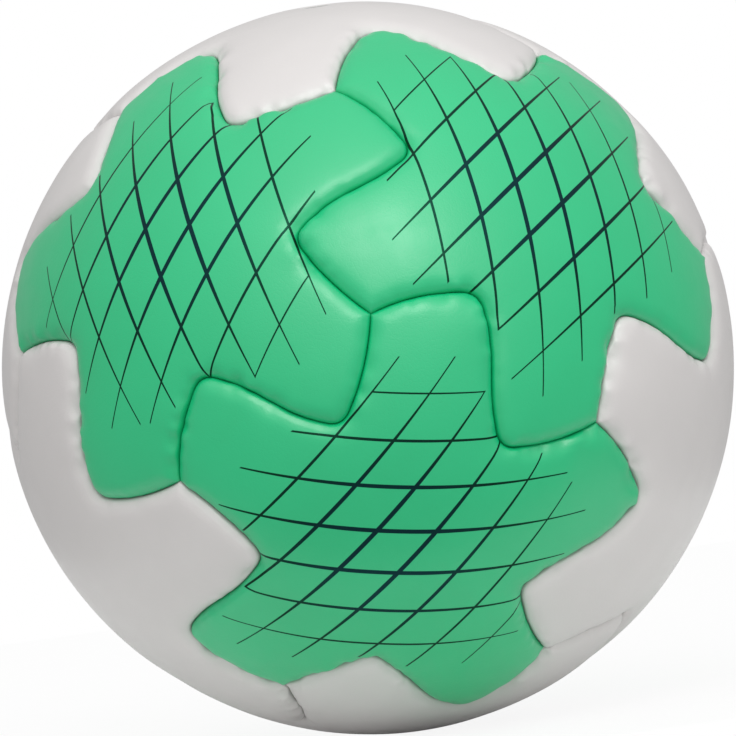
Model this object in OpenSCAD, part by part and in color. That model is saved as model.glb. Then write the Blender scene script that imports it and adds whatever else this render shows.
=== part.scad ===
// Handball of twelve like panels, sewn together along Z-shaped seams round an inflated bladder.
// The ball's middle is the origin, and the valve looks up +Z.

/* [Ball] */
// Diameter over the crowns of the panels
ball_d = 188; // [150:1:200]

/* [Seams] */
// Angle from a seam's middle to its knee, along the line between the seam's ends
knee_along = 6.5; // [4:0.1:9]
// Angle from a seam's middle to its knee, across the line between the seam's ends
knee_across = 10.4; // [6:0.1:11]
// Angle by which the arm between a seam's end and its knee bows out
arm_bow = 1.1; // [0:0.1:2]
// Angle by which the web between a seam's two knees waves to each side
web_wave = 0.6; // [0:0.1:1.2]
// Gap between the turned-in edges of two neighbouring panels
seam_gap = 0.3; // [0.1:0.05:0.6]

/* [Pillow of a panel] */
// How far the skin rolls down into the seam
roll_depth = 1.6; // [0.6:0.1:2]
// Width of that roll, from the seam inwards
roll_w = 4; // [2:0.5:7]
// Further rise from the top of the roll to the crown
crown_rise = 1; // [0.4:0.1:1.4]
// Distance from the seam at which the crown is reached
crown_w = 14; // [10:1:18]

/* [Layers] */
// Thickness of the synthetic leather skin
skin_t = 1.2; // [0.8:0.1:1.6]
// Thickness of the foam pad at its crown
foam_t = 4.1; // [3.8:0.1:6]
// Thickness of the woven lining under the foam
lining_t = 1; // [0.5:0.1:1.5]
// Thickness of the bladder's wall
bladder_t = 1; // [0.6:0.1:2]
// Width of the sewing thread's run along a seam
thread_w = 1.2; // [0.6:0.1:2]

/* [Valve] */
// Diameter of the valve's rubber neck, which shows at the ball's surface
neck_d = 8; // [7:0.5:12]
// How deep the neck's end lies below the crown
neck_recess = 0.5; // [0.3:0.1:1.2]
// Diameter of the flange that is bonded inside the bladder
flange_d = 24; // [16:1:36]
// Thickness of that flange
flange_t = 1; // [0.6:0.1:2]
// Length of the neck below the flange
nose_h = 5; // [3:0.5:9]
// Diameter of the soft core that is pressed into the neck
core_d = 4.4; // [4:0.1:5]
// Diameter of the core's head
head_d = 5.8; // [5.4:0.1:6.4]
// Thickness of the core's head
head_t = 1.2; // [0.8:0.1:2]
// Length of the core's flattened lips below the neck
lips_h = 3; // [2:0.5:5]
// Thickness of the lips at their end
lips_t = 1.6; // [1:0.1:2.4]
// Diameter of the bore that takes the inflating needle
needle_bore_d = 2.2; // [2.1:0.05:2.4]
// Depth of that bore
needle_bore_h = 9; // [6:0.5:12]

/* [Hidden] */
$fn = 240;

// Clearance between one layer and the next, and round the pressed-in parts of the valve
layer_clear = 0.05;
// Clearance round the valve's neck where it passes through a panel
neck_clear = 0.3;
// How far a cut runs past what it cuts
overrun = 1;
// Chamfer that leads the needle into its bore
needle_lead = 0.4;
// Width and depth of the slit between the core's lips
slit_w = 0.3;
slit_h = 1.2;
// Share of each arm that the thread leaves free, because three seams meet at its end
thread_end_share = 0.12;

// Radii of the layers, from the crown inwards
ball_r = ball_d / 2;
foam_r = ball_r - skin_t - layer_clear;
foam_in_r = foam_r - foam_t;
lining_r = foam_in_r - layer_clear;
lining_in_r = lining_r - lining_t;
bladder_r = lining_in_r - layer_clear;
bladder_in_r = bladder_r - bladder_t;
flange_r = bladder_in_r - layer_clear;

// Heights of the valve's parts on the Z axis
neck_top_z = ball_r - neck_recess;
head_z = neck_top_z - head_t;
nose_z = flange_r - flange_t - nose_h;
lips_z = nose_z - lips_h;

// Colours of the pieces
green_skin = [0.27, 0.78, 0.57];
white_skin = [0.86, 0.86, 0.85];
foam_tone = [0.93, 0.92, 0.86];
lining_tone = [0.72, 0.70, 0.64];
thread_tone = [0.15, 0.45, 0.34];
bladder_tone = [0.14, 0.14, 0.15];
housing_tone = [0.80, 0.80, 0.79];
core_tone = [0.72, 0.72, 0.71];

// The panels lie like the faces of a dodecahedron, and each seam joins the ends of one of its edges.
// Angle from a face's middle to an edge's middle, and from there to the edge's end
face_angle = atan(2) / 2;
half_edge_angle = acos(sqrt(5) / 3) / 2;
ring_angle = 2 * face_angle;
edges = 5;
turn_step = 360 / edges;
half_step = turn_step / 2;
// Turns about the valve's axis of the first panel in the upper and in the lower ring
upper_turn = 18;
lower_turn = -90;

// Straight stretches in each arm and in each half of the web, and where its rounded knee begins
arm_steps = 2;
web_steps = 2;
arm_knee_share = 0.87;
web_knee_share = 0.19;
knee_middle_share = 0.5;
// Shares of the way from a panel's middle to its edge, at which the rings of its pillow lie
pillow_shares = [1, 0.97, 0.91, 0.8];
shoulder_share = 0.9;
// Height of a pillow's apex before the crown's sphere cuts it, as a share of the ball's radius
apex_share = 1.3;

// Flat points are angles, x along an edge and y towards the panel's middle, or millimetres of arc
// on a map of the panel that keeps each point's bearing and distance from the panel's middle.
arc_mm = ball_r * PI / 180;
end_point = [half_edge_angle, 0];
knee_point = [knee_along, -knee_across];

// Unit vector a quarter turn to the left of v
function left_of(v) = [-v.y, v.x] / norm(v);
function turned(v, angle) = [v.x * cos(angle) - v.y * sin(angle), v.x * sin(angle) + v.y * cos(angle)];
function curve(a, b, c, share) = let (rest = 1 - share) rest * rest * a + 2 * rest * share * b + share * share * c;

// A seam is alike from either end, so half of it is enough: an arm, a rounded knee and half a web
function arm(share) = curve(end_point,
    (end_point + knee_point) / 2 + 2 * arm_bow * left_of(knee_point - end_point), knee_point, share);
function web(share) = (1 - share) * knee_point + web_wave * sin(180 * share) * left_of(-knee_point);
function half_seam(first_share) = [
    for (i = [0:arm_steps]) arm(first_share + (arm_knee_share - first_share) * i / arm_steps),
    curve(arm(arm_knee_share), knee_point, web(web_knee_share), knee_middle_share),
    for (i = [0:web_steps - 1]) web(web_knee_share + (1 - web_knee_share) * i / web_steps),
];
function whole_seam(half) = let (last = len(half) - 1)
    concat([for (p = half) -p], [[0, 0]], [for (i = [last:-1:0]) half[i]]);

// From an edge's flat point to a direction, from there to the panel's map, and back at radius r
function direction(p) = let (a = norm(p), unit = a == 0 ? [0, 0] : p / a)
    sin(a) * (unit.x * [0, 1, 0] + unit.y * [-cos(face_angle), 0, sin(face_angle)])
    + cos(a) * [sin(face_angle), 0, cos(face_angle)];
function to_map(v) = arc_mm * acos(v.z) * [v.x, v.y] / norm([v.x, v.y]);
function from_map(q, r) = let (a = norm(q) / arc_mm) r * [sin(a) * q.x / norm(q), sin(a) * q.y / norm(q), cos(a)];

// The seam line round a panel, anticlockwise from outside, without the point that the next edge repeats
one_edge = [for (p = whole_seam(half_seam(0))) to_map(direction(p))];
seam_line = [for (e = [0:edges - 1], i = [0:len(one_edge) - 2]) turned(one_edge[i], turn_step * e)];
points_round = len(seam_line);

// A line drawn in by t on its left, with each corner kept
function drawn_in(line, t) = let (n = len(line)) [
    for (i = [0:n - 1])
        let (a = left_of(line[i] - line[(i + n - 1) % n]), b = left_of(line[(i + 1) % n] - line[i]))
        line[i] + t * (a + b) / (1 + a * b)
];

cover_line = drawn_in(seam_line, seam_gap / 2);
tray_line = drawn_in(cover_line, skin_t);
foam_line = drawn_in(tray_line, layer_clear);

// Distance on the map from q to the seam line, and the radius of the skin there
function gap_to(q, a, b) = norm(q - a - (b - a) * max(0, min(1, (q - a) * (b - a) / ((b - a) * (b - a)))));
function to_seam(q) = min([
    for (i = [0:points_round - 1]) gap_to(q, seam_line[i], seam_line[(i + 1) % points_round])
]);
function roll(d) = let (s = 1 - min(d / roll_w, 1)) roll_depth * (1 - sqrt(1 - s * s));
function skin_r(d) = ball_r - roll(d) - crown_rise * (1 - d / crown_w);
function ring(line, share, drop) = [for (q = line) from_map(q * share, skin_r(to_seam(q * share)) - drop)];

// Faces between two rings of points, and from a ring to an apex, seen from outside
function band(n, low, high) = [
    for (i = [0:n - 1]) each [
        [high + i, high + (i + 1) % n, low + (i + 1) % n],
        [high + i, low + (i + 1) % n, low + i],
    ]
];
function fan(n, low, apex) = [for (i = [0:n - 1]) [apex, low + (i + 1) % n, low + i]];
function inside_out(faces) = [for (f = faces) [f[2], f[1], f[0]]];

// A cone from the ball's middle out through rings of points, cut off by a sphere of radius r
module cone_of(rings, r) {
    n = len(rings[0]);
    last = len(rings) - 1;
    peak = len(rings) * n;
    intersection() {
        sphere(r = r);
        polyhedron(
            points = concat([for (one = rings, p = one) p], [[0, 0, apex_share * ball_r], [0, 0, 0]]),
            faces = concat(
                [for (j = [1:1:last], face = band(n, (j - 1) * n, j * n)) face],
                fan(n, last * n, peak),
                inside_out(fan(n, 0, peak + 1))));
    }
}

// The inside of a cover's skin, which the foam fills
module tray(line, drop) {
    edge = [for (q = line) from_map(q, skin_r(0) - drop)];
    cone_of([edge, ring(line, shoulder_share, drop)], ball_r - drop);
}

// Skin of one panel, with its edges turned in along the seams
module cover(tone) {
    color(tone)
        difference() {
            cone_of([for (share = pillow_shares) ring(cover_line, share, 0)], ball_r);
            sphere(r = foam_in_r);
            tray(tray_line, skin_t);
            children();
        }
}

// Pad of soft foam that fills one cover
module foam() {
    color(foam_tone)
        difference() {
            tray(foam_line, ball_r - foam_r);
            sphere(r = foam_in_r);
            children();
        }
}

// Woven lining under one pad
module lining() {
    color(lining_tone)
        difference() {
            cone_of([[for (q = foam_line) from_map(q, ball_r)]], lining_r);
            sphere(r = lining_in_r);
            children();
        }
}

// Round hole that lets the valve's neck through the top panel
module neck_hole() {
    cylinder(d = neck_d + 2 * neck_clear, h = ball_r + overrun);
}

// Thread of one seam, which lies between the turned-in edges and the bladder
module thread_run(edge) {
    path = [for (p = whole_seam(half_seam(thread_end_share))) to_map(direction(p))];
    last = len(path) - 1;
    side = [
        for (i = [0:last])
            left_of(path[min(i + 1, last)] - path[max(i - 1, 0)]) * thread_w / 2
    ];
    left_side = [for (i = [0:last]) from_map(path[i] + side[i], ball_r)];
    right_side = [for (i = [0:last]) from_map(path[i] - side[i], ball_r)];
    rotate([0, 0, turn_step * edge])
        difference() {
            intersection() {
                sphere(r = lining_r);
                polyhedron(
                    points = concat(right_side, left_side, [[0, 0, 0]]),
                    faces = concat(
                        [for (i = [0:last - 1]) [last + 2 + i, i + 1, i]],
                        [for (i = [0:last - 1]) [last + 1 + i, last + 2 + i, i]],
                        [for (i = [0:last - 1]) [i, i + 1, 2 * last + 2]],
                        [for (i = [0:last - 1]) [last + 2 + i, last + 1 + i, 2 * last + 2]],
                        [[last + 1, 0, 2 * last + 2], [last, 2 * last + 1, 2 * last + 2]]));
            }
            sphere(r = lining_in_r);
        }
}

module at_top() {
    rotate([0, 0, upper_turn]) children();
}

module at_upper(place) {
    rotate([0, ring_angle, upper_turn + turn_step * (place - 1)]) rotate([0, 0, half_step]) children();
}

module at_lower(place) {
    rotate([0, 180 - ring_angle, lower_turn + turn_step * (place - 1)]) children();
}

module at_bottom() {
    rotate([0, 180, lower_turn + half_step]) children();
}

// One run of thread for each of the thirty seams
module seam_thread() {
    color(thread_tone) {
        for (edge = [0:edges - 1]) {
            at_top() thread_run(edge);
            at_bottom() thread_run(edge);
        }
        for (place = [1:edges]) {
            for (edge = [0, 1, edges - 1]) at_upper(place) thread_run(edge);
            at_lower(place) thread_run(1);
        }
    }
}

// Air-tight rubber bladder, with a hole for the valve's neck
module bladder() {
    color(bladder_tone)
        difference() {
            sphere(r = bladder_r);
            sphere(r = bladder_in_r);
            cylinder(d = neck_d + 2 * layer_clear, h = ball_r + overrun);
        }
}

// Rubber neck of the valve, with the flange that holds it inside the bladder
module valve_housing() {
    color(housing_tone)
        difference() {
            union() {
                translate([0, 0, nose_z]) cylinder(d = neck_d, h = neck_top_z - nose_z);
                intersection() {
                    translate([0, 0, nose_z]) cylinder(d = flange_d, h = ball_r);
                    difference() {
                        sphere(r = flange_r);
                        sphere(r = flange_r - flange_t);
                    }
                }
            }
            translate([0, 0, nose_z - overrun])
                cylinder(d = core_d + 2 * layer_clear, h = neck_top_z - nose_z + 2 * overrun);
            translate([0, 0, head_z - layer_clear])
                cylinder(d = head_d + 2 * layer_clear, h = head_t + layer_clear + overrun);
        }
}

// Soft core of the valve: a headed plug with the needle's blind bore and lips that shut below it
module valve_core() {
    color(core_tone)
        difference() {
            union() {
                translate([0, 0, nose_z]) cylinder(d = core_d, h = neck_top_z - nose_z);
                translate([0, 0, head_z]) cylinder(d = head_d, h = head_t);
                intersection() {
                    translate([0, 0, lips_z]) cylinder(d = core_d, h = lips_h);
                    translate([0, core_d, 0]) rotate([90, 0, 0]) linear_extrude(height = 2 * core_d)
                        polygon([
                            [-lips_t / 2, lips_z], [lips_t / 2, lips_z], [core_d / 2, nose_z], [-core_d / 2, nose_z],
                        ]);
                }
            }
            translate([0, 0, neck_top_z - needle_bore_h])
                cylinder(d = needle_bore_d, h = needle_bore_h + overrun);
            translate([0, 0, neck_top_z - needle_lead])
                cylinder(d1 = needle_bore_d, d2 = needle_bore_d + 2 * needle_lead, h = needle_lead);
            translate([-slit_w / 2, -core_d, lips_z - overrun]) cube([slit_w, 2 * core_d, slit_h + overrun]);
        }
}

at_top() cover(white_skin) neck_hole();  // cover_top
at_upper(1) cover(white_skin);  // cover_upper_1
at_upper(2) cover(green_skin);  // cover_upper_2
at_upper(3) cover(white_skin);  // cover_upper_3
at_upper(4) cover(green_skin);  // cover_upper_4
at_upper(5) cover(green_skin);  // cover_upper_5
at_lower(1) cover(green_skin);  // cover_lower_1
at_lower(2) cover(white_skin);  // cover_lower_2
at_lower(3) cover(green_skin);  // cover_lower_3
at_lower(4) cover(green_skin);  // cover_lower_4
at_lower(5) cover(white_skin);  // cover_lower_5
at_bottom() cover(white_skin);  // cover_bottom
at_top() foam() neck_hole();  // foam_top
at_upper(1) foam();  // foam_upper_1
at_upper(2) foam();  // foam_upper_2
at_upper(3) foam();  // foam_upper_3
at_upper(4) foam();  // foam_upper_4
at_upper(5) foam();  // foam_upper_5
at_lower(1) foam();  // foam_lower_1
at_lower(2) foam();  // foam_lower_2
at_lower(3) foam();  // foam_lower_3
at_lower(4) foam();  // foam_lower_4
at_lower(5) foam();  // foam_lower_5
at_bottom() foam();  // foam_bottom
at_top() lining() neck_hole();  // lining_top
at_upper(1) lining();  // lining_upper_1
at_upper(2) lining();  // lining_upper_2
at_upper(3) lining();  // lining_upper_3
at_upper(4) lining();  // lining_upper_4
at_upper(5) lining();  // lining_upper_5
at_lower(1) lining();  // lining_lower_1
at_lower(2) lining();  // lining_lower_2
at_lower(3) lining();  // lining_lower_3
at_lower(4) lining();  // lining_lower_4
at_lower(5) lining();  // lining_lower_5
at_bottom() lining();  // lining_bottom
seam_thread();
bladder();
valve_housing();
valve_core();
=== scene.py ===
import math

import bpy
import numpy as np
from mathutils import Matrix, Vector, noise
from mathutils.geometry import delaunay_2d_cdt


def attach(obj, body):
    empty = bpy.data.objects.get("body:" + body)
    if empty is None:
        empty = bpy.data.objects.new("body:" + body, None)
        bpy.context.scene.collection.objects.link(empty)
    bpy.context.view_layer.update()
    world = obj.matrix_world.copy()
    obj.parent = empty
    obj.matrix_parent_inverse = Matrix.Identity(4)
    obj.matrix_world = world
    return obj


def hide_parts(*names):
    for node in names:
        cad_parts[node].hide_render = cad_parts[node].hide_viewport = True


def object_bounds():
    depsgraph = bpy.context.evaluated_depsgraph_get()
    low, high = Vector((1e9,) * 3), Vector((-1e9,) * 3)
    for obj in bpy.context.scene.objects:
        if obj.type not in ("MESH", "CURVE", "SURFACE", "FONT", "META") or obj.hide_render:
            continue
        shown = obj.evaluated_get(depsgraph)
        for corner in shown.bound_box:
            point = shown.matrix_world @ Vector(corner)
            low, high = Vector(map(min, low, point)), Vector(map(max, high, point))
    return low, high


# The ball's looks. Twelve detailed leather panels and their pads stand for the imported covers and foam, and
# the layers and the valve inside them get materials. Sizes are in millimetres until a mesh is made.

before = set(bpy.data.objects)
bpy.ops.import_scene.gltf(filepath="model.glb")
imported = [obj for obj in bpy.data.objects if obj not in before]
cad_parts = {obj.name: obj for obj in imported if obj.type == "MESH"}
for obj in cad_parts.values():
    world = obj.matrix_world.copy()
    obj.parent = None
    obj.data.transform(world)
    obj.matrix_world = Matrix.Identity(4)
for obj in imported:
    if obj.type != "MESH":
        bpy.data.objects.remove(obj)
cad_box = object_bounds()
MM = 0.001
BALL_R = round(max(cad_box[1][i] - cad_box[0][i] for i in range(3)) / 2 / MM, 1)

# Sizes shared with part.scad
KNEE_ALONG, KNEE_ACROSS, ARM_BOW, WEB_WAVE = 6.5, 10.4, 1.1, 0.6      # the seam's shape, in degrees
ARM_KNEE, WEB_KNEE = 0.87, 0.19        # shares of arm and web between which the knee is rounded
SKIN_T = 1.2
FOAM_IN_R = 88.65
FACE_ANGLE = math.atan(2) / 2
HALF_EDGE = math.acos(math.sqrt(5) / 3) / 2
RING_ANGLE = 2 * FACE_ANGLE
EDGES = 5
TURN = 2 * math.pi / EDGES
UPPER_TURN, LOWER_TURN = math.radians(18), math.radians(-90)
HOLE_R = 4.3

# Sizes of the dressed panels
BOX_CLEAR = 0.02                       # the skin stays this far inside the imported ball
CROWN_R = BALL_R - 0.17                # middle of a panel's crown, before its unevenness
CEILING_R = CROWN_R - 0.35             # the crown from which the skin's inner side is worked out
HALF_GAP = 0.04                        # half the gap between two turned-in edges
PINCH, PINCH_W = 0.75, 2.0             # share by which the gap closes at a corner, and its reach
GROOVE_DEPTH, GROOVE_W = 0.9, 0.9      # where two edges turn in to meet
FILL, FILL_W = 0.5, 2.4                # share by which the groove fills up at a corner, and its reach
ROLL_DEPTH, ROLL_W = 1.75, 2.7         # the edge's roll down to the groove
CROWN_RISE, CROWN_W = 0.5, 7.0         # the slow rise from the roll to the crown
CROWN_POWER = 1.3
PAD_CLEAR = 0.12                       # between a skin and its pad
UNEVEN = [(0.13, 26, 0), (0.05, 11, 20)]       # heights and widths of the uneven fill, and their seeds
SETTLE_W, SETTLE_LEAST = 4.0, 0.4      # the fill is down to this share at the seam
HOLE_ROUND, HOLE_ROUND_W = 0.55, 1.3   # the rounded rim of the valve's hole
HOLE_SINK, HOLE_SINK_W = 0.18, 2.2     # the wider sink round it

# Puckers across the seams
PUCKERS = [(0.7, 5.2, 40), (0.9, 2.6, 60)]     # heights and widths, and their seeds
STRONG_W, STRONG_SEED = 24, 80         # width of the stretches where puckers are strong, and its seed
STRONG_GAIN, STRONG_SHIFT = 1.6, 0.25
WEAK, STRONG, AT_KNEE = 0.2, 0.95, 0.4         # shares of a pucker everywhere, in a strong stretch, at a knee
KNEE_PLACE, KNEE_W = 0.58, 0.10        # where the knee lies along an edge
PUCKER_RISE, PUCKER_REACH = 2.4, 3.2   # height, and how far in from the seam puckers reach
ROOT_LEAST, ROOT_W = 0.12, 1.4         # share of a pucker left down in the groove

# Spacing of a panel's points
SEAM_SAMPLES = 600                     # steps in which the seam curve is drawn before it is spaced evenly
SEAM_STEP = 0.8                        # along a seam
GRID_STEP = 1.2                        # on the crown
EDGE_OFFSETS = [0.0, 0.03, 0.09, 0.2, 0.36, 0.58, 0.85]        # rows down the turned-in edge
RING_OFFSETS = [1.25, 1.7, 2.2, 2.8, 3.5, 4.4, 5.4]            # rings along the seam
HOLE_OFFSETS = [0.0, 0.12, 0.3, 0.55, 0.9, 1.4, 2.1, 3.0]      # rings round the valve's hole
HOLE_STEPS = 48                        # points on each of them
HOLE_STAGGER = 0.065                   # angle by which every second one is turned
HOLE_CLEAR = 3.6                       # strip round the hole that holds nothing else
FINE_RINGS = 3                         # rings along the seam that keep all their points
FINE_APART, RING_APART, GRID_APART, CEILING_APART = 0.5, 0.8, 0.9, 3.0
GRID_CLEAR, CEILING_CLEAR = 0.6, 1.5   # between the last ring, or the ceiling's rims, and the free points
RING_FOLD, TRAY_FOLD = 0.985, 0.97     # an inset point nearer to the seam than this share is in a fold
TRAY_SKIP = 3                          # the inner side keeps every third point
SKIRT_ROWS = 3                         # rows down the side of a turned-in edge
SOFT_FROM, SOFT_OVER = 1.2, 1.6        # where the smoothed distance to the seam takes over
KERNEL_POWER, KERNEL_LEAST = 6, 0.05
LINE_SUM = 3 * math.pi / 8             # those weights' integral along a straight seam at distance 1
CELL = 1.0                             # cell size in which near points are looked up

GREEN = ["upper_2", "upper_4", "upper_5", "lower_1", "lower_3", "lower_4"]
PANELS = ["top"] + [f"upper_{i}" for i in range(1, 6)] + [f"lower_{i}" for i in range(1, 6)] + ["bottom"]


# The seam and a panel's flat map
def left_of(v):
    """The unit vector on the left of v."""
    return np.array([-v[1], v[0]]) / np.hypot(v[0], v[1])


def bezier(a, b, c, t):
    """Points at t of the quadratic curve from a to c that b bends."""
    t = np.asarray(t, float)[:, None]
    return (1 - t) ** 2 * a + 2 * (1 - t) * t * b + t * t * c


END = np.degrees(np.array([HALF_EDGE, 0.0]))
KNEE = np.array([KNEE_ALONG, -KNEE_ACROSS])


def arm(t):
    """Flat points of the seam's outer part, which bows from the edge's end to the knee."""
    bow = (END + KNEE) / 2 + 2 * ARM_BOW * left_of(KNEE - END)
    return bezier(END, bow, KNEE, t)


def web(t):
    """Flat points of the seam's inner part, which waves from the knee to the edge's middle."""
    t = np.asarray(t, float)[:, None]
    return (1 - t) * KNEE + WEB_WAVE * np.sin(math.pi * t) * left_of(-KNEE)


def direction(flat):
    """Flat points of an edge, in degrees, to unit vectors."""
    a = np.radians(np.hypot(flat[:, 0], flat[:, 1]))
    safe = np.where(a > 1e-12, a, 1)
    unit = np.radians(flat) / safe[:, None]
    unit[a <= 1e-12] = 0
    across = np.array([-math.cos(FACE_ANGLE), 0, math.sin(FACE_ANGLE)])
    middle = np.array([math.sin(FACE_ANGLE), 0, math.cos(FACE_ANGLE)])
    tangent = unit[:, :1] * np.array([0.0, 1.0, 0.0]) + unit[:, 1:] * across
    return np.sin(a)[:, None] * tangent + np.cos(a)[:, None] * middle


def to_map(v):
    """Unit vectors to map points."""
    away = np.maximum(np.hypot(v[:, 0], v[:, 1]), 1e-9)
    return BALL_R * np.arccos(np.clip(v[:, 2], -1, 1))[:, None] * v[:, :2] / away[:, None]


def from_map(q):
    """Map points to unit vectors."""
    a = np.hypot(q[:, 0], q[:, 1]) / BALL_R
    safe = np.where(a > 1e-12, a * BALL_R, 1)
    return np.column_stack([np.sin(a) * q[:, 0] / safe, np.sin(a) * q[:, 1] / safe, np.cos(a)])


def half_seam():
    """Flat points from a seam's end to its middle, evenly spaced on the ball."""
    t = np.linspace(0, 1, SEAM_SAMPLES)
    corner = bezier(arm([ARM_KNEE])[0], KNEE, web([WEB_KNEE])[0], t)
    line = np.vstack([arm(t * ARM_KNEE)[:-1], corner[:-1], web(WEB_KNEE + (1 - WEB_KNEE) * t)])
    points = direction(line) * BALL_R
    length = np.concatenate([[0], np.cumsum(np.linalg.norm(np.diff(points, axis=0), axis=1))])
    count = int(round(length[-1] / SEAM_STEP))
    at = np.linspace(0, length[-1], count + 1)
    return np.column_stack([np.interp(at, length, line[:, 0]), np.interp(at, length, line[:, 1])])


def turned(q, angle):
    """Map points turned about the panel's middle."""
    c, s = math.cos(angle), math.sin(angle)
    return np.column_stack([q[:, 0] * c - q[:, 1] * s, q[:, 0] * s + q[:, 1] * c])


def seam_loop():
    """The seam line round a panel on its map, and each point's place along its edge, -1 to 1."""
    half = half_seam()
    n = len(half) - 1
    edge = np.vstack([-half, half[::-1][1:]])[:-1]
    along = np.concatenate([np.linspace(-1, 0, n + 1), np.linspace(0, 1, n + 1)[1:]])[:-1]
    one = to_map(direction(edge))
    return np.vstack([turned(one, TURN * e) for e in range(EDGES)]), np.tile(along, EDGES)


def inset(loop, t):
    """The loop drawn in by t, one length or one for each point, on its left, with mitred corners."""
    t = np.reshape(t, (-1, 1))
    back = loop - np.roll(loop, 1, axis=0)
    on = np.roll(loop, -1, axis=0) - loop
    a = np.column_stack([-back[:, 1], back[:, 0]]) / np.linalg.norm(back, axis=1)[:, None]
    b = np.column_stack([-on[:, 1], on[:, 0]]) / np.linalg.norm(on, axis=1)[:, None]
    return loop + t * (a + b) / (1 + (a * b).sum(1))[:, None]


def distance(q, loop):
    """Distance from each of q to the closed loop."""
    best = np.full(len(q), 1e9)
    a, b = loop, np.roll(loop, -1, axis=0)
    d = b - a
    dd = (d * d).sum(1)
    for start in range(0, len(q), 2000):
        part = q[start:start + 2000]
        rel = part[:, None] - a[None]
        t = np.clip((rel * d).sum(2) / dd, 0, 1)
        gap = np.linalg.norm(rel - t[..., None] * d, axis=2)
        best[start:start + 2000] = gap.min(1)
    return best


def kernel(q, loop):
    """Inverse-distance weights from each of q to the loop's points."""
    gap = np.linalg.norm(q[:, None] - loop[None], axis=2)
    return 1 / np.maximum(gap, KERNEL_LEAST) ** KERNEL_POWER


SEAM, SEAM_ALONG = seam_loop()
COUNT = len(SEAM)
CORNERS = SEAM[np.abs(SEAM_ALONG) > 0.9999]
STEP_MM = float(np.linalg.norm(np.diff(SEAM, axis=0), axis=1).mean())


def inside(q, loop):
    """True for each of q inside the closed loop."""
    a, b = loop, np.roll(loop, -1, axis=0)
    x, y = q[:, 0][:, None], q[:, 1][:, None]
    cross = (a[:, 1] > y) != (b[:, 1] > y)
    with np.errstate(divide="ignore", invalid="ignore"):
        at = (b[:, 0] - a[:, 0]) * (y - a[:, 1]) / (b[:, 1] - a[:, 1]) + a[:, 0]
    return (cross & (x < at)).sum(1) % 2 == 1


def thinned(groups):
    """Points of the groups in turn, each kept if none kept in the cells around is within its spacing."""
    kept, cells = [], {}
    for points, spacing in groups:
        for p in points:
            cx, cy = int(math.floor(p[0] / CELL)), int(math.floor(p[1] / CELL))
            near = (k for i in (-1, 0, 1) for j in (-1, 0, 1) for k in cells.get((cx + i, cy + j), ()))
            if all((k[0] - p[0]) ** 2 + (k[1] - p[1]) ** 2 >= spacing * spacing for k in near):
                cells.setdefault((cx, cy), []).append(p)
                kept.append(p)
    return np.array(kept)


def triangles(points, loops):
    """Triangles over points, inside the first loop and outside the others, which are lists of indices."""
    edges = [(loop[i], loop[(i + 1) % len(loop)]) for loop in loops for i in range(len(loop))]
    result = delaunay_2d_cdt([Vector(p) for p in points], edges, [], 1, 1e-7, True)
    source = [ids[0] if ids else -1 for ids in result[3]]
    faces = np.array([[source[i] for i in f] for f in result[2]])
    if (faces < 0).any() or len(result[0]) != len(points):
        raise RuntimeError(f"triangulation changed the points: {len(points)} to {len(result[0])}")
    middle = points[faces].mean(1)
    keep = inside(middle, points[loops[0]])
    for loop in loops[1:]:
        keep &= ~inside(middle, points[loop])
    faces = faces[keep]
    a, b, c = (points[faces[:, k]] for k in range(3))
    turn = (b[:, 0] - a[:, 0]) * (c[:, 1] - a[:, 1]) - (b[:, 1] - a[:, 1]) * (c[:, 0] - a[:, 0])
    faces[turn < 0] = faces[turn < 0][:, ::-1]
    return faces


def corner_distance(q):
    """Distance from each of q to the nearest corner of a panel."""
    return np.linalg.norm(q[:, None] - CORNERS[None], axis=2).min(1)


def circle(r, start=0.0):
    """Map points round the valve's hole."""
    t = start + np.arange(HOLE_STEPS) * 2 * math.pi / HOLE_STEPS
    return np.column_stack([r * np.cos(t), r * np.sin(t)])


def seam_grid():
    """A triangular grid of map points inside the seam, clear of the rings along it."""
    reach = np.abs(SEAM).max()
    across = np.arange(-reach, reach, GRID_STEP)
    rows_y = np.arange(-reach, reach, GRID_STEP * math.sqrt(0.75))
    grid = np.vstack([np.column_stack([across + (i % 2) * GRID_STEP / 2, np.full(len(across), y)])
                      for i, y in enumerate(rows_y)])
    grid = grid[inside(grid, SEAM)]
    return grid[distance(grid, SEAM) > RING_OFFSETS[-1] + GRID_CLEAR]


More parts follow.
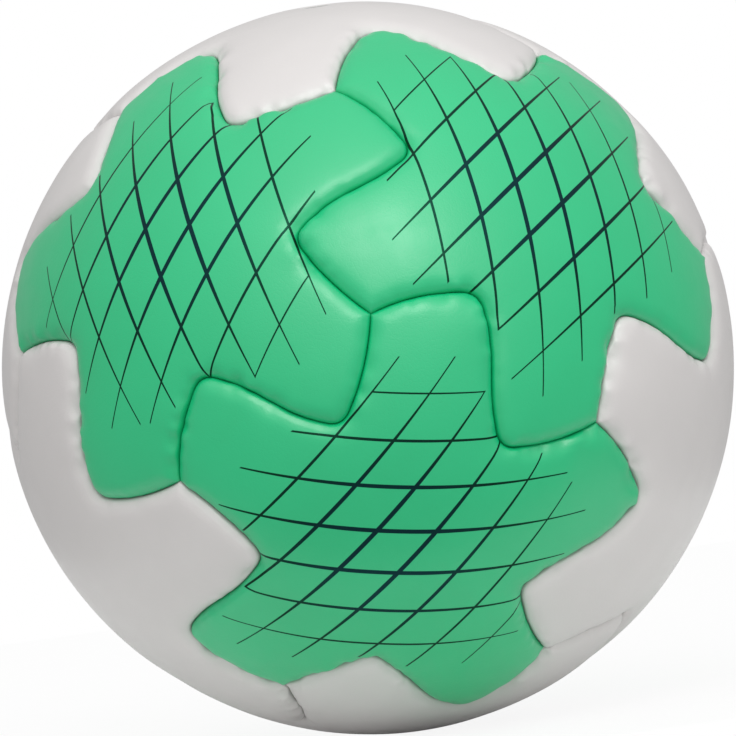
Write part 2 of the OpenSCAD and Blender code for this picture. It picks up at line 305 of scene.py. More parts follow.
class Flat:
    """Points and faces of a panel on its map, shared by the panels of one kind."""

    def __init__(self, holed):
        self.holed = holed
        half_gap = HALF_GAP * (1 - PINCH * np.exp(-(corner_distance(SEAM) / PINCH_W) ** 2))
        rows = [inset(SEAM, half_gap + t) for t in EDGE_OFFSETS]
        grid = seam_grid()
        self.make_top(rows, grid)
        self.make_depth()
        self.make_inner(rows[0], grid)

    def clear_of_hole(self, points, clear):
        """The points further than clear from the hole's rim, or all of them where there is no hole."""
        if not self.holed:
            return points
        return points[np.hypot(points[:, 0], points[:, 1]) > HOLE_R + clear]

    def loops(self, rim_count):
        """The bounding loops of a surface whose points start with its rim and the hole's ring."""
        rim = list(range(rim_count))
        return [rim, list(range(rim_count, rim_count + HOLE_STEPS))] if self.holed else [rim]

    def make_top(self, rows, grid):
        """The outer side: rows of quads down the turned-in edge, and triangles over the crown."""
        groups = [(rows[-1], 0.0)]
        if self.holed:
            groups += [(circle(HOLE_R + grow, HOLE_STAGGER * (k % 2)), 0.0)
                       for k, grow in enumerate(HOLE_OFFSETS)]
        for k, t in enumerate(RING_OFFSETS):
            ring = inset(SEAM, HALF_GAP + t)
            ring = ring[distance(ring, SEAM) > (HALF_GAP + t) * RING_FOLD]
            fine = k < FINE_RINGS
            ring = ring if fine else ring[::2]
            groups.append((self.clear_of_hole(ring, HOLE_CLEAR), FINE_APART if fine else RING_APART))
        groups.append((self.clear_of_hole(grid, HOLE_CLEAR), GRID_APART))
        crown = thinned(groups)
        self.top = np.vstack(rows[:-1] + [crown])
        self.faces = []
        for k in range(len(rows) - 1):
            low, high = k * COUNT, (k + 1) * COUNT
            self.faces += [[low + i, low + (i + 1) % COUNT, high + (i + 1) % COUNT, high + i]
                           for i in range(COUNT)]
        first = COUNT * (len(rows) - 1)
        self.faces += (triangles(crown, self.loops(COUNT)) + first).tolist()
        self.hole_ring = [first + COUNT + i for i in range(HOLE_STEPS)] if self.holed else []

    def make_depth(self):
        """Each top point's distance to the seam, smoothed further in, and its share of each pucker."""
        self.gap = distance(self.top, SEAM)
        self.corner = corner_distance(self.top)
        weights = kernel(self.top, SEAM)
        soft = (weights.sum(1) * STEP_MM / LINE_SUM) ** (1 / (1 - KERNEL_POWER))
        blend = np.clip((self.gap - SOFT_FROM) / SOFT_OVER, 0, 1)
        blend = blend * blend * (3 - 2 * blend)
        self.depth = self.gap * (1 - blend) + soft * blend
        self.spread = (weights / weights.sum(1)[:, None]).astype(np.float32)

    def make_inner(self, edge, grid):
        """The inner side: a coarser ceiling, and the strip between its rim and the turned-in edge."""
        tray = inset(SEAM[::TRAY_SKIP], HALF_GAP + SKIN_T)
        tray = tray[distance(tray, SEAM) > (HALF_GAP + SKIN_T) * TRAY_FOLD]
        tray = thinned([(tray, GRID_APART)])
        groups = [(tray, 0.0)]
        if self.holed:
            groups.append((circle(HOLE_R), 0.0))
        coarse = grid[::TRAY_SKIP]
        coarse = coarse[distance(coarse, SEAM) > HALF_GAP + SKIN_T + CEILING_CLEAR]
        groups.append((self.clear_of_hole(coarse, CEILING_CLEAR), CEILING_APART))
        self.tray_count = len(tray)
        self.ceiling = thinned(groups)
        self.ceiling_faces = triangles(self.ceiling, self.loops(len(tray)))
        rim_loops = [list(range(COUNT)), list(range(COUNT, COUNT + len(tray)))]
        self.rim_faces = triangles(np.vstack([edge, tray]), rim_loops)
        self.ceiling_depth = distance(self.ceiling, SEAM)
        self.ceiling_corner = corner_distance(self.ceiling)
        self.pad = self.ceiling.copy()
        self.pad[:len(tray)] = inset(tray, PAD_CLEAR)


def profile(depth, corner):
    """How far the skin lies below its crown, by the distance to the seam and to the nearest corner."""
    s = 1 - np.minimum(depth / GROOVE_W, 1)
    groove = GROOVE_DEPTH * (1 - FILL * np.exp(-(corner / FILL_W) ** 2)) * (1 - np.sqrt(1 - s * s))
    roll = ROLL_DEPTH * np.vectorize(math.erfc)(depth / ROLL_W)
    return groove + roll + CROWN_RISE * np.exp(-(depth / CROWN_W) ** CROWN_POWER)


def place_of(name):
    """Turn from the canonical panel, whose middle is on +Z, to the panel's place on the ball."""
    if name == "top":
        return Matrix.Rotation(UPPER_TURN, 3, "Z")
    if name == "bottom":
        return Matrix.Rotation(LOWER_TURN + TURN / 2, 3, "Z") @ Matrix.Rotation(math.pi, 3, "Y")
    ring, number = name.split("_")
    if ring == "upper":
        return (Matrix.Rotation(UPPER_TURN + TURN * (int(number) - 1), 3, "Z")
                @ Matrix.Rotation(RING_ANGLE, 3, "Y") @ Matrix.Rotation(TURN / 2, 3, "Z"))
    return (Matrix.Rotation(LOWER_TURN + TURN * (int(number) - 1), 3, "Z")
            @ Matrix.Rotation(math.pi - RING_ANGLE, 3, "Y"))


# Hand-sewn seams stray from the regular net: outwards towards the outline, as seen from the front, and up in
# one patch near the front's middle. Angles are in degrees, moves in millimetres.
FRONT = (0.0, -1.0, 0.0)
SIDE_STRAY, SIDE_AT, SIDE_W = 6.0, 80.0, 26.0        # the outward move, largest at SIDE_AT from the front
PATCH_STRAY, PATCH_W = 2.5, 22.0                     # the upward move, largest at the patch's middle
PATCH_AZ, PATCH_EL = math.radians(-95), math.radians(22)
STRAY_RISE = 1.0     # height above the linings within which the stray grows to its full size
VALVE_CALM = 9.0     # angle from the valve within which nothing strays, so that the hole stays over it


def strayed(place, radius):
    """The unit vectors place, moved along the ball as the sewing strays at points of those radii."""
    front = np.array(FRONT)
    cosine = np.clip(place @ front, -1, 1)
    from_front = np.degrees(np.arccos(cosine))
    outward = place * cosine[:, None] - front
    outward /= np.maximum(np.linalg.norm(outward, axis=1), 1e-6)[:, None]
    side = SIDE_STRAY * np.exp(-((from_front - SIDE_AT) / SIDE_W) ** 2)

    patch = np.array([math.cos(PATCH_EL) * math.cos(PATCH_AZ), math.cos(PATCH_EL) * math.sin(PATCH_AZ),
                      math.sin(PATCH_EL)])
    from_patch = np.degrees(np.arccos(np.clip(place @ patch, -1, 1)))
    upward = np.array([0.0, 0.0, 1.0]) - place[:, 2:3] * place
    rise = PATCH_STRAY * np.exp(-(from_patch / PATCH_W) ** 2)

    grown = np.broadcast_to(np.clip((np.asarray(radius) - FOAM_IN_R) / STRAY_RISE, 0, 1), len(place))
    from_valve = np.degrees(np.arccos(np.clip(place[:, 2], -1, 1)))
    grown = grown * (1 - np.exp(-(from_valve / VALVE_CALM) ** 4))
    move = (side * grown)[:, None] * outward + (rise * grown)[:, None] * upward
    out = place * BALL_R + move
    return out / np.linalg.norm(out, axis=1)[:, None]


def smooth_noise(points, scale, seed):
    """Noise about zero at the points, whose grains are scale millimetres wide."""
    shift = Vector((seed * 17.13, seed * -9.71, seed * 5.37))
    return np.array([noise.noise(Vector(p) / scale + shift) for p in points])


# The print on the green panels
LINE_PITCH = 12.1                      # between the lines of one family
LINE_LEAN = math.radians(26.8)         # of either family from the print's long axis
LINE_WIDE, LINE_FINE = 1.2, 0.35       # width in the print's middle and at its rim
LINE_REACH = 46.92                     # from the print's middle to where the lines are fine
SWELL, SWELL_POWER = 1.35, 1.1         # how soon a line swells on its way in
NO_INK = 9.0                           # distance past a line's end where no line is
# the print on a panel's map before its turn: angle of its long axis, one crossing, middle of its thick lines
PRINT_AXIS = 106.8
PRINT_CROSSING = np.array([-7.0, -5.5])
PRINT_MIDDLE = np.array([-1.9, -3.3])
# fifths of a turn by which each panel's print is turned, and how far it then sits askew
PRINTS = {
    "lower_1": (0, -0.4, (0.1, -0.4)), "upper_5": (0, 0.2, (-1.3, 1.6)), "upper_4": (3, 1.1, (1.4, -1.9)),
    "upper_2": (1, 0.3, (0.4, 0.5)), "lower_3": (4, -0.3, (-0.5, 0.2)), "lower_4": (2, 0.2, (0.2, -0.6)),
}
# for each line of either family: where it starts and stops, in crossings with the other family
FIRST_LINES = {2: (-0.5, 3.75), 1: (-2.0, 3.75), 0: (-3.75, 3.0), -1: (-3.75, 2.25), -2: (-3.5, 1.5),
               -3: (-3.75, 0.75), -4: (-3.75, -1.75)}
SECOND_LINES = {3: (0.0, 2.0), 2: (-1.25, 2.75), 1: (-2.75, 3.0), 0: (-3.75, 2.75), -1: (-4.0, 1.75),
                -2: (-4.0, 1.0), -3: (-4.5, 0.75)}


def print_fields(q, name):
    """Lattice coordinates and line width at map points, and how far each lies past its lines' ends."""
    fifths, askew, shift = PRINTS[name]
    q = turned(q, -TURN * fifths)
    axis = math.radians(PRINT_AXIS + askew)
    n1 = np.array([-math.sin(axis + LINE_LEAN), math.cos(axis + LINE_LEAN)])
    n2 = np.array([-math.sin(axis - LINE_LEAN), math.cos(axis - LINE_LEAN)])
    rel = q - PRINT_CROSSING - np.array(shift)
    ab = np.column_stack([rel @ n1, rel @ n2]) / LINE_PITCH
    past = np.full((len(q), 2), NO_INK)
    for family, lines in enumerate((FIRST_LINES, SECOND_LINES)):
        own, other = np.round(ab[:, family]), ab[:, 1 - family]
        for index, (low, high) in lines.items():
            pick = own == index
            past[pick, family] = np.maximum(other[pick] - high, low - other[pick]) * LINE_PITCH
    away = np.linalg.norm(q - PRINT_MIDDLE - np.array(shift), axis=1)
    fade = np.clip(1 - away / LINE_REACH, 0, 1)
    width = LINE_FINE + (LINE_WIDE - LINE_FINE) * np.minimum(1, fade * SWELL) ** SWELL_POWER
    return ab, width, past


# Materials
def rgb(r, g, b):
    """An opaque colour."""
    return (r, g, b, 1.0)


# the leather's tones: plain, in the mottling, and a darker one painted as shade in the turned-in edges along
# the seams
GREEN_TONES = [rgb(0.002, 0.535, 0.213), rgb(0.0015, 0.50, 0.195), rgb(0.001, 0.42, 0.155)]
WHITE_TONES = [rgb(0.705, 0.68, 0.67), rgb(0.67, 0.645, 0.636), rgb(0.46, 0.445, 0.435)]
INK_FINE, INK_WIDE = rgb(0.0012, 0.042, 0.019), rgb(0.0016, 0.034, 0.041)
INK_METAL = 0.9      # metallic share, which keeps the ink dark where the leather shines
SHEEN = 0.9          # specular level of the leather
# the leather's grains, in cells or waves per metre, and the heights of its bumps in metres
PEBBLES, CREASES, PORES, GLOSS_PATCHES, MOTTLE, CLOUD = 1450, 800, 5200, 130, 38, 9
PEBBLE_HEIGHT, PORE_HEIGHT = 0.00009, 0.00004


def connect(tree, socket, value):
    """Links the socket to the value where that is a socket too, or else sets it."""
    if isinstance(value, bpy.types.NodeSocket):
        tree.links.new(value, socket)
    else:
        socket.default_value = value


class Paint:
    """A material whose nodes are added with short calls."""

    def __init__(self, name):
        self.material = bpy.data.materials.new(name)
        self.material.use_nodes = True
        self.tree = self.material.node_tree
        self.shader = self.tree.nodes["Principled BSDF"]

    def node(self, kind, inputs=(), **settings):
        """A new node with its settings made, and its inputs linked or set."""
        made = self.tree.nodes.new(kind)
        for key, value in settings.items():
            setattr(made, key, value)
        for key, value in dict(inputs).items():
            connect(self.tree, made.inputs[key], value)
        return made

    def math(self, operation, a, b=0.0):
        return self.node("ShaderNodeMath", {0: a, 1: b}, operation=operation).outputs[0]

    def ramp(self, value, low, high, to_low=0.0, to_high=1.0):
        """The value eased from to_low at low to to_high at high, and held beyond them."""
        return self.node("ShaderNodeMapRange", {"Value": value, "From Min": low, "From Max": high,
                                                "To Min": to_low, "To Max": to_high},
                         interpolation_type="SMOOTHSTEP").outputs[0]

    def mix(self, share, a, b):
        """The colour a, or b by its share."""
        return self.node("ShaderNodeMix", {0: share, 6: a, 7: b}, data_type="RGBA").outputs[2]

    def noise(self, place, scale, detail=2.0, rough=0.5):
        return self.node("ShaderNodeTexNoise", {"Vector": place, "Scale": scale, "Detail": detail,
                                                "Roughness": rough}).outputs[0]

    def cells(self, place, scale, feature):
        made = self.node("ShaderNodeTexVoronoi", {"Vector": place, "Scale": scale}, feature=feature)
        return made.outputs["Distance"]

    def place(self):
        """Places on the object, in metres."""
        return self.node("ShaderNodeTexCoord").outputs["Object"]

    def bump(self, height, strength, reach, under=None):
        """A bumped normal, on top of another where one is given."""
        inputs = {"Height": height, "Strength": strength, "Distance": reach}
        if under is not None:
            inputs["Normal"] = under
        return self.node("ShaderNodeBump", inputs).outputs[0]

    def finish(self, **sockets):
        """Links or sets the shader's own sockets, and gives the material."""
        for key, value in sockets.items():
            connect(self.tree, self.shader.inputs[key.replace("_", " ")], value)
        return self.material


def printed_ink(p):
    """Where a printed skin carries ink, and the ink's tone there."""
    lattice = p.node("ShaderNodeAttribute", attribute_name="lattice").outputs["Vector"]
    ends = p.node("ShaderNodeAttribute", attribute_name="line_ends").outputs["Vector"]
    parts = p.node("ShaderNodeSeparateXYZ", {0: lattice}).outputs
    past = p.node("ShaderNodeSeparateXYZ", {0: ends}).outputs
    half_width = p.math("MULTIPLY", parts[2], 0.5)
    inks = []
    for k in (0, 1):
        off = p.math("ABSOLUTE", p.math("SUBTRACT", parts[k], p.math("ROUND", parts[k])))
        side = p.math("SUBTRACT", p.math("MULTIPLY", off, LINE_PITCH), half_width)
        inks.append(p.math("MULTIPLY", p.ramp(side, -0.05, 0.05, 1, 0), p.ramp(past[k], 0.0, 0.35, 1, 0)))
    return p.math("MAXIMUM", inks[0], inks[1]), p.mix(p.ramp(parts[2], 0.5, 1.25), INK_FINE, INK_WIDE)


def leather(name, tones, printed):
    """Satin synthetic leather: pebbled grain, faint mottling, creases, the lattice if printed, and shade
    painted along the seams.
    """
    # the last tone is painted shade for the groove at the seams
    tone, deep, painted_seam_shade = tones
    p = Paint(name)
    place = p.place()
    pebbles = p.cells(place, PEBBLES, "SMOOTH_F1")
    creases = p.cells(place, CREASES, "DISTANCE_TO_EDGE")
    pores = p.noise(place, PORES, 2, 0.6)
    mottle = p.noise(place, MOTTLE, 3, 0.55)
    cloud = p.noise(place, CLOUD, 1, 0.5)
    tone_share = p.math("ADD", p.math("MULTIPLY", p.ramp(mottle, 0.3, 0.7), 0.55),
                        p.math("MULTIPLY", p.ramp(cloud, 0.35, 0.65), 0.45))
    colour = p.mix(tone_share, deep, tone)
    rough = p.ramp(p.noise(place, GLOSS_PATCHES, 2, 0.6), 0.3, 0.7, 0.33, 0.40)
    fine_creases = p.math("MULTIPLY", p.ramp(creases, 0, 0.12), 0.4)
    height = p.math("ADD", p.math("MULTIPLY", pebbles, 0.6), fine_creases)
    normal = p.bump(height, 0.22, PEBBLE_HEIGHT)
    normal = p.bump(pores, 0.12, PORE_HEIGHT, normal)
    if printed:
        ink, ink_tone = printed_ink(p)
        colour = p.mix(ink, colour, ink_tone)
        p.finish(Metallic=p.math("MULTIPLY", ink, INK_METAL))
    edge = p.node("ShaderNodeAttribute", attribute_name="from_seam").outputs["Fac"]
    # painted shade: within half a millimetre of the seam the skin turns to its darker tone, standing in for
    # the shade in the groove
    colour = p.mix(p.ramp(edge, 0.1, 0.5, 1, 0), colour, painted_seam_shade)
    return p.finish(Base_Color=colour, Roughness=rough, Normal=normal, Specular_IOR_Level=SHEEN)


def foam_material():
    """Pale open-celled foam with darker cell walls."""
    p = Paint("open_cell_foam")
    place = p.place()
    cells = p.cells(place, 1900, "DISTANCE_TO_EDGE")
    shade = p.noise(place, 60, 3, 0.6)
    colour = p.mix(p.ramp(shade, 0.3, 0.7), rgb(0.72, 0.68, 0.52), rgb(0.86, 0.83, 0.72))
    colour = p.mix(p.ramp(cells, 0.02, 0.2, 0.55, 1), rgb(0.42, 0.38, 0.28), colour)
    return p.finish(Base_Color=colour, Roughness=p.ramp(shade, 0.2, 0.8, 0.85, 0.95),
                    Normal=p.bump(cells, 0.7, 0.0003))


def weave_material():
    """Plain weave of cotton: two sets of yarns on each side's own axes."""
    p = Paint("woven_lining")
    place = p.place()
    waves = []
    for axis in ("X", "Y", "Z"):
        waves.append(p.node("ShaderNodeTexWave", {"Vector": place, "Scale": 320, "Distortion": 0.6,
                                                  "Detail": 1.0, "Detail Scale": 2.0},
                            wave_type="BANDS", bands_direction=axis).outputs["Fac"])
    yarns = p.math("MULTIPLY", p.math("MAXIMUM", waves[0], waves[1]), p.math("MAXIMUM", waves[1], waves[2]))
    fuzz = p.noise(place, 900, 3, 0.6)
    colour = p.mix(p.ramp(yarns, 0.1, 0.9), rgb(0.34, 0.32, 0.27), rgb(0.55, 0.53, 0.46))
    colour = p.mix(p.ramp(fuzz, 0.3, 0.7, 0, 0.35), colour, rgb(0.62, 0.60, 0.54))
    return p.finish(Base_Color=colour, Roughness=p.ramp(fuzz, 0.2, 0.8, 0.8, 0.95),
                    Normal=p.bump(yarns, 0.6, 0.00025))


def thread_material():
    """Green waxed thread with its twist."""
    p = Paint("waxed_thread")
    place = p.place()
    twist = p.node("ShaderNodeTexWave", {"Vector": place, "Scale": 420, "Distortion": 1.5, "Detail": 1.0},
                   wave_type="BANDS", bands_direction="DIAGONAL").outputs["Fac"]
    shade = p.noise(place, 200, 2, 0.5)
    colour = p.mix(p.ramp(twist, 0.1, 0.9), rgb(0.012, 0.10, 0.06), rgb(0.03, 0.22, 0.14))
    return p.finish(Base_Color=colour, Roughness=p.ramp(shade, 0.2, 0.8, 0.45, 0.62),
                    Normal=p.bump(twist, 0.5, 0.0002))


def rubber_material(name, tone, worn, low, high):
    """Matt rubber of two near tones, whose roughness lies between low and high."""
    p = Paint(name)
    place = p.place()
    cloud = p.noise(place, 70, 4, 0.6)
    grain = p.noise(place, 2600, 2, 0.6)
    colour = p.mix(p.ramp(cloud, 0.35, 0.7), tone, worn)
    return p.finish(Base_Color=colour, Roughness=p.ramp(p.noise(place, 260, 2), 0.3, 0.7, low, high),
                    Normal=p.bump(grain, 0.15, 0.00006))


green_leather = leather("green_leather", GREEN_TONES, True)
white_leather = leather("white_leather", WHITE_TONES, False)
inner_materials = {
    "foam": foam_material(),
    "lining": weave_material(),
    "seam_thread": thread_material(),
    "bladder": rubber_material("bladder_rubber", rgb(0.018, 0.018, 0.02), rgb(0.03, 0.03, 0.032), 0.42, 0.6),
    "valve_housing": rubber_material("valve_rubber", rgb(0.60, 0.60, 0.59), rgb(0.53, 0.53, 0.52), 0.5, 0.62),
    "valve_core": rubber_material("core_rubber", rgb(0.47, 0.47, 0.46), rgb(0.40, 0.40, 0.39), 0.55, 0.7),
}


# The panels
def pucker_signal(name, seed):
    """Height of the puckers at each point of the seam round a panel, in millimetres."""
    turn = place_of(name)
    rim = (np.array(turn) @ (from_map(SEAM) * BALL_R).T).T
    bend = sum(height * smooth_noise(rim, width, seed + shift) for height, width, shift in PUCKERS)
    strong = np.clip(smooth_noise(rim, STRONG_W, seed + STRONG_SEED) * STRONG_GAIN + STRONG_SHIFT, 0, 1)
    knee = np.exp(-((np.abs(SEAM_ALONG) - KNEE_PLACE) / KNEE_W) ** 2)
    return bend * (WEAK + STRONG * strong + AT_KNEE * knee)


def dressed(name, mesh, material, replaced):
    """The finished object of one padded piece."""
    mesh.polygons.foreach_set("use_smooth", [True] * len(mesh.polygons))
    mesh.materials.append(material)
    mesh.validate()
    mesh.update()
    piece = bpy.data.objects.new(name, mesh)
    bpy.context.scene.collection.objects.link(piece)
    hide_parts(replaced)
    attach(piece, "root")


def ceiling_radius(flat):
    """How far the skin's inner side lies from the ball's middle."""
    return CEILING_R - profile(flat.ceiling_depth, flat.ceiling_corner) - SKIN_T


def hole_wall(upper, lower):
    """Faces of the wall round the valve's hole, between two rings of points."""
    return [[upper[i], upper[(i + 1) % HOLE_STEPS], lower[(i + 1) % HOLE_STEPS], lower[i]]
            for i in range(HOLE_STEPS)]


def pad(name, flat):
    """The foam pad of one panel, which fills the dressed skin."""
    place = from_map(flat.pad) @ np.array(place_of(name)).T
    height = ceiling_radius(flat) - PAD_CLEAR
    points = np.vstack([strayed(place, height) * height[:, None], place * FOAM_IN_R])
    n, edge = len(place), flat.tray_count
    faces = flat.ceiling_faces.tolist() + (flat.ceiling_faces + n)[:, ::-1].tolist()
    faces += [[i, n + i, n + (i + 1) % edge, (i + 1) % edge] for i in range(edge)]
    if flat.holed:
        ring = list(range(edge, edge + HOLE_STEPS))
        faces += hole_wall(ring, [n + i for i in ring])
    mesh = bpy.data.meshes.new("pad_" + name)
    mesh.from_pydata((points * MM).tolist(), [], faces)
    dressed("pad_" + name, mesh, inner_materials["foam"], "foam_" + name)


def skin_radius(name, flat, place, seed):
    """How far each top point of a skin lies from the ball's middle."""
    world = place * BALL_R
    uneven = sum(height * smooth_noise(world, width, seed + shift) for height, width, shift in UNEVEN)
    settle = SETTLE_LEAST + (1 - SETTLE_LEAST) * np.clip(flat.depth / SETTLE_W, 0, 1)
    pucker = flat.spread @ pucker_signal(name, seed).astype(np.float32)
    root = ROOT_LEAST + (1 - ROOT_LEAST) * np.clip(flat.depth / ROOT_W, 0, 1)
    reach = np.exp(-flat.depth / PUCKER_REACH) * root
    radius = CROWN_R - profile(flat.depth, flat.corner) + uneven * settle + pucker * reach * PUCKER_RISE
    if flat.holed:
        away = np.hypot(flat.top[:, 0], flat.top[:, 1]) - HOLE_R
        s = 1 - np.clip(away / HOLE_ROUND_W, 0, 1)
        radius -= (HOLE_ROUND * (1 - np.sqrt(1 - s * s))
                   + HOLE_SINK * np.exp(-np.clip(away, 0, None) / HOLE_SINK_W))
    return np.minimum(radius, BALL_R - BOX_CLEAR)


def skin_faces(flat):
    """Faces over the points that panel() stacks: top, skirts, ceiling, and its rim on the lining."""
    edge = flat.tray_count
    first_skirt = len(flat.top)
    ceiling = first_skirt + COUNT * SKIRT_ROWS
    low_rim = ceiling + len(flat.ceiling)
    faces = list(flat.faces)
    for k in range(SKIRT_ROWS):
        high = first_skirt + COUNT * (k - 1) if k else 0
        low = first_skirt + COUNT * k
        faces += [[high + (i + 1) % COUNT, high + i, low + i, low + (i + 1) % COUNT] for i in range(COUNT)]
    rim = np.concatenate([ceiling - COUNT + np.arange(COUNT), low_rim + np.arange(edge)])
    faces += rim[flat.rim_faces][:, ::-1].tolist()
    faces += [[low_rim + i, low_rim + (i + 1) % edge, ceiling + (i + 1) % edge, ceiling + i]
              for i in range(edge)]
    faces += (flat.ceiling_faces + ceiling)[:, ::-1].tolist()
    if flat.holed:
        first = ceiling + edge
        faces += hole_wall(flat.hole_ring, list(range(first, first + HOLE_STEPS)))
    return faces


def add_field(mesh, name, values):
    """A named attribute of the mesh's points: one number for each, or three."""
    kind, key = ("FLOAT", "value") if values.ndim == 1 else ("FLOAT_VECTOR", "vector")
    field = mesh.attributes.new(name, kind, "POINT")
    field.data.foreach_set(key, values.astype(np.float32).ravel())


def panel(name, flat, seed):
    """The leather skin of one panel: a tray whose edges turn in down to the lining."""
    turn = np.array(place_of(name))
    place = from_map(flat.top) @ turn.T
    radius = skin_radius(name, flat, place, seed)
    sewn = strayed(place, radius)
    parts = [sewn * radius[:, None]]
    for k in range(1, SKIRT_ROWS + 1):
        low = radius[:COUNT] + (FOAM_IN_R - radius[:COUNT]) * k / SKIRT_ROWS
        parts.append(strayed(place[:COUNT], low) * low[:, None])
    ceiling = from_map(flat.ceiling) @ turn.T
    ceiling_r = ceiling_radius(flat)
    parts += [strayed(ceiling, ceiling_r) * ceiling_r[:, None], ceiling[:flat.tray_count] * FOAM_IN_R]
    points = np.vstack(parts)
    mesh = bpy.data.meshes.new("skin_" + name)
    mesh.from_pydata((points * MM).tolist(), [], skin_faces(flat))

    add_field(mesh, "from_seam", np.concatenate([flat.gap, np.zeros(len(points) - len(sewn))]))
    printed = name in GREEN
    if printed:
        shown = to_map(sewn @ turn)
        inner = [shown[:COUNT]] * SKIRT_ROWS + [flat.ceiling, flat.ceiling[:flat.tray_count]]
        ab, width, past = print_fields(np.vstack([shown] + inner), name)
        past[len(sewn):] = NO_INK
        add_field(mesh, "lattice", np.column_stack([ab, width]))
        add_field(mesh, "line_ends", np.column_stack([past, np.zeros(len(past))]))
    dressed("skin_" + name, mesh, green_leather if printed else white_leather, "cover_" + name)


plain_flat, holed_flat = Flat(False), Flat(True)
for number, panel_name in enumerate(PANELS):
    panel(panel_name, holed_flat if panel_name == "top" else plain_flat, number + 1)
    pad(panel_name, holed_flat if panel_name == "top" else plain_flat)

for node_name, node_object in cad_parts.items():
    for key, material in inner_materials.items():
        if node_name == key or node_name.startswith(key + "_"):
            for material_slot in node_object.material_slots:
                material_slot.material = material


# Floor, light and camera
FLOOR_MIDDLE, FLOOR_HALF = (0.0, 0.2), (0.17, 0.31)       # a table top under and behind the ball, in metres
FLOOR_RIM = 0.06                       # width over which it fades into the white behind it
FLOOR_TONES = rgb(0.88, 0.88, 0.88), rgb(0.91, 0.91, 0.91)
FLOOR_GRAINS = 220                     # waves per metre
PLAIN_SHARE, GLOSSY_SHARE = 0.9, 0.1   # how far it shows as plain white to the camera, and in gloss
EVEN_LIGHT = 0.46
# each glow's strength, its spread in degrees, and where it comes from
GLOWS = [(0.54, 60, (0.053, -0.338, 0.940)), (0.75, 35, (0.1144, -0.7223, 0.6820))]
KEY_PLACE, KEY_SIZE, KEY_POWER = (0.22, -1.03, 0.92), 0.75, 4.5
CAMERA_BACK = (-0.02857, -0.99773, 0.06102)    # from the ball to the camera
CAMERA_RIGHT = (0.98960, -0.03684, -0.13906)   # along the picture's width
CAMERA_AWAY = 50                       # distance in ball radii
HALF_VIEW = 0.020057                   # tangent of half the angle of view
SENSOR_MM = 36
CLIP_NEAR, CLIP_FAR = 0.1, 60


def floor_material():
    """Pale matt table top: near white to the camera, apart from a share that keeps the shadow."""
    p = Paint("floor")
    place = p.place()
    grain = p.noise(place, FLOOR_GRAINS, 3, 0.6)
    p.finish(Base_Color=p.mix(p.ramp(grain, 0.3, 0.7), *FLOOR_TONES),
             Roughness=p.ramp(grain, 0.2, 0.8, 0.85, 0.95))
    glow = p.node("ShaderNodeEmission", {"Color": rgb(1, 1, 1), "Strength": 1.0})
    path = p.node("ShaderNodeLightPath").outputs
    along = p.node("ShaderNodeSeparateXYZ", {0: place}).outputs
    from_middle = [p.math("ABSOLUTE", p.math("SUBTRACT", along[k], FLOOR_MIDDLE[k])) for k in (0, 1)]
    rims = [p.ramp(from_middle[k], FLOOR_HALF[k] - FLOOR_RIM, FLOOR_HALF[k]) for k in (0, 1)]
    rim = p.math("MAXIMUM", *rims)
    share = p.math("MAXIMUM", rim, PLAIN_SHARE)
    plain = p.math("MULTIPLY", p.math("MAXIMUM", path["Is Camera Ray"], path["Is Transmission Ray"]), share)
    seen = p.math("MAXIMUM", plain, p.math("MULTIPLY", path["Is Glossy Ray"], GLOSSY_SHARE))
    both = p.node("ShaderNodeMixShader", {0: seen, 1: p.shader.outputs[0], 2: glow.outputs[0]})
    p.tree.links.new(both.outputs[0], p.tree.nodes["Material Output"].inputs[0])
    return p.material


def make_floor():
    """The table top, at the ball's lowest point."""
    corners = [(-1, -1), (1, -1), (1, 1), (-1, 1)]
    points = [(FLOOR_MIDDLE[0] + i * FLOOR_HALF[0], FLOOR_MIDDLE[1] + j * FLOOR_HALF[1], -BALL_R * MM)
              for i, j in corners]
    mesh = bpy.data.meshes.new("floor")
    mesh.from_pydata(points, [], [(0, 1, 2, 3)])
    mesh.materials.append(floor_material())
    made = bpy.data.objects.new("floor", mesh)
    bpy.context.scene.collection.objects.link(made)


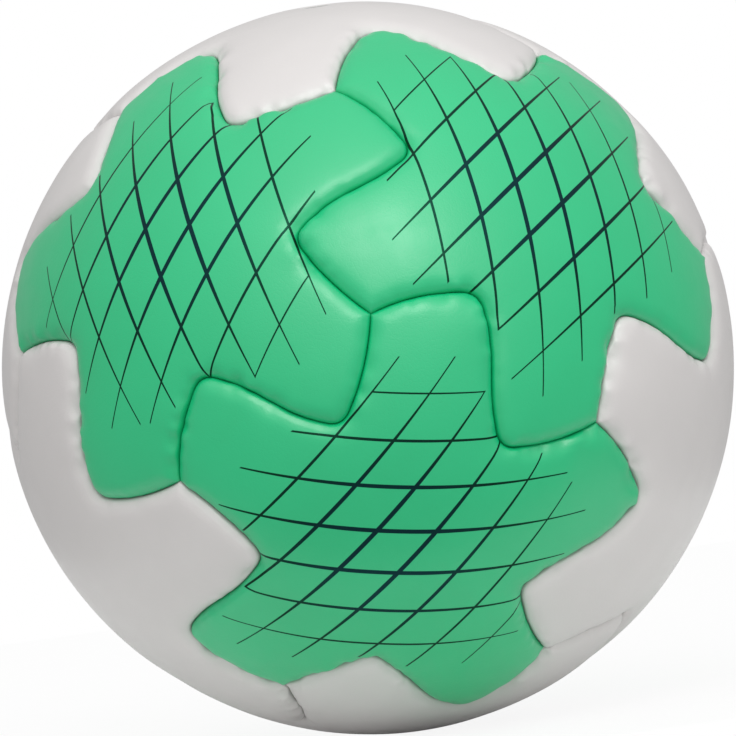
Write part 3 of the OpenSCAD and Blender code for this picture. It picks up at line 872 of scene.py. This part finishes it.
def make_world():
    """An even light with two wide glows from above the front, and plain white behind the ball."""
    world = bpy.data.worlds.new("studio")
    bpy.context.scene.world = world
    world.use_nodes = True
    tree = world.node_tree

    def maths(operation, a, b=0.0):
        made = tree.nodes.new("ShaderNodeMath")
        made.operation = operation
        connect(tree, made.inputs[0], a)
        connect(tree, made.inputs[1], b)
        return made.outputs[0]

    sky = tree.nodes.new("ShaderNodeTexCoord").outputs["Generated"]
    level = EVEN_LIGHT
    for strength, spread, source in GLOWS:
        towards = tree.nodes.new("ShaderNodeVectorMath")
        towards.operation = "DOT_PRODUCT"
        tree.links.new(sky, towards.inputs[0])
        towards.inputs[1].default_value = source
        away = maths("ARCCOSINE", towards.outputs["Value"])
        far = maths("POWER", maths("DIVIDE", away, math.radians(spread)), 2.0)
        glow = maths("DIVIDE", strength, maths("EXPONENT", far))
        level = maths("ADD", level, glow)
    background = tree.nodes["Background"]
    background.inputs["Color"].default_value = (1, 1, 1, 1)
    tree.links.new(level, background.inputs["Strength"])
    white = tree.nodes.new("ShaderNodeBackground")
    white.inputs["Color"].default_value = (1, 1, 1, 1)
    white.inputs["Strength"].default_value = 1.0
    path = tree.nodes.new("ShaderNodeLightPath")
    mix = tree.nodes.new("ShaderNodeMixShader")
    tree.links.new(path.outputs["Is Camera Ray"], mix.inputs[0])
    tree.links.new(background.outputs[0], mix.inputs[1])
    tree.links.new(white.outputs[0], mix.inputs[2])
    tree.links.new(mix.outputs[0], tree.nodes["World Output"].inputs[0])


def make_key_lamp():
    """A round, soft lamp above the front, turned to the ball."""
    data = bpy.data.lights.new("key", "AREA")
    data.shape = "DISK"
    data.size = KEY_SIZE
    data.energy = KEY_POWER
    lamp = bpy.data.objects.new("key", data)
    lamp.location = KEY_PLACE
    lamp.rotation_euler = Vector(KEY_PLACE).to_track_quat("Z", "Y").to_euler()
    bpy.context.scene.collection.objects.link(lamp)


def make_camera():
    """The photograph's camera: far away and narrow, with its picture's middle on the ball's."""
    back = Vector(CAMERA_BACK).normalized()
    right = Vector(CAMERA_RIGHT)
    right = (right - back * right.dot(back)).normalized()
    up = back.cross(right)
    data = bpy.data.cameras.new("camera")
    data.sensor_width = SENSOR_MM
    data.lens = SENSOR_MM / 2 / HALF_VIEW
    data.clip_start = CLIP_NEAR
    data.clip_end = CLIP_FAR
    camera = bpy.data.objects.new("camera", data)
    turn = Matrix((right, up, back)).transposed().to_4x4()
    camera.matrix_world = Matrix.Translation(back * CAMERA_AWAY * BALL_R * MM) @ turn
    bpy.context.scene.collection.objects.link(camera)
    bpy.context.scene.camera = camera


make_floor()
make_world()
make_key_lamp()
make_camera()
bpy.context.scene.view_settings.view_transform = "Standard"
